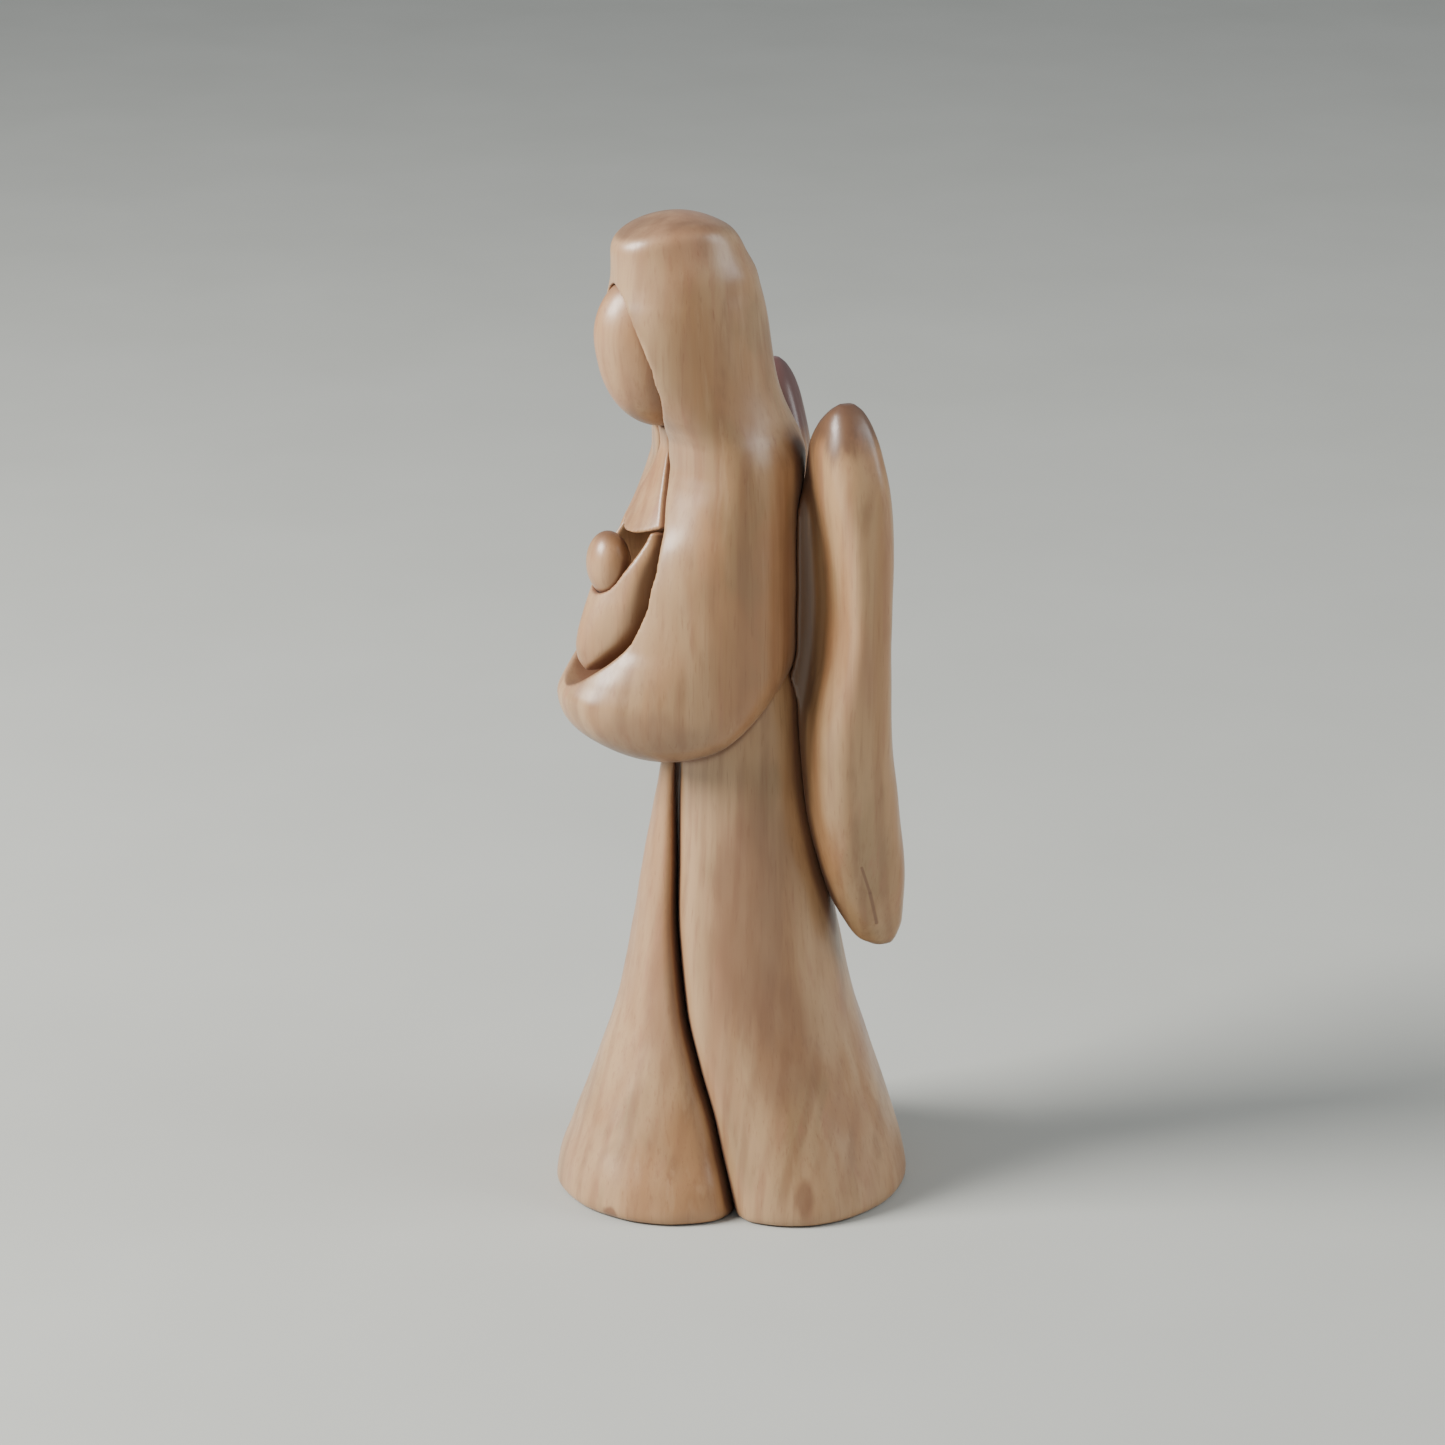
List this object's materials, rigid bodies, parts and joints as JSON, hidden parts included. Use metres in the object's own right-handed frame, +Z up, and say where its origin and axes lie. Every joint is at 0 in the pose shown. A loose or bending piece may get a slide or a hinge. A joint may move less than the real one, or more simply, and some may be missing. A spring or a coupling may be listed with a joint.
{
  "type": "carved wooden angel figurine",
  "caption": "Carved wooden figurine of a hooded, faceless angel holding a swaddled baby, with a flared robe, bulb-shaped cloak and two leaf-shaped wings.",
  "frame": {"origin": "middle of the base, on the flat underside that the figurine stands on", "axes": "+Z up along the height of the figure; the figure faces -Y; +X is the figure's own left side"},
  "size_m": [0.0494, 0.054, 0.15],
  "materials": {
    "robe_wood": "carved light fruitwood, sanded and waxed to a soft satin",
    "dress_wood": "carved light fruitwood, sanded and waxed to a soft satin",
    "mantle_wood": "carved light fruitwood, sanded and waxed to a soft satin",
    "face_wood": "carved light fruitwood, sanded smooth and waxed",
    "baby_wood": "carved light fruitwood, sanded smooth and waxed",
    "wing_wood": "carved light fruitwood, sanded and waxed to a soft satin",
    "dowel_wood": "plain turned hardwood, unfinished"
  },
  "bodies": {
    "root": {"robe": "robe_wood", "dress_panel": "dress_wood", "mantle": "mantle_wood", "face": "face_wood", "bodice": "dress_wood", "swaddle": "baby_wood", "baby_head": "baby_wood", "left_wing": "wing_wood", "right_wing": "wing_wood", "left_wing_dowels": "dowel_wood", "right_wing_dowels": "dowel_wood"}
  },
  "joints": []
}
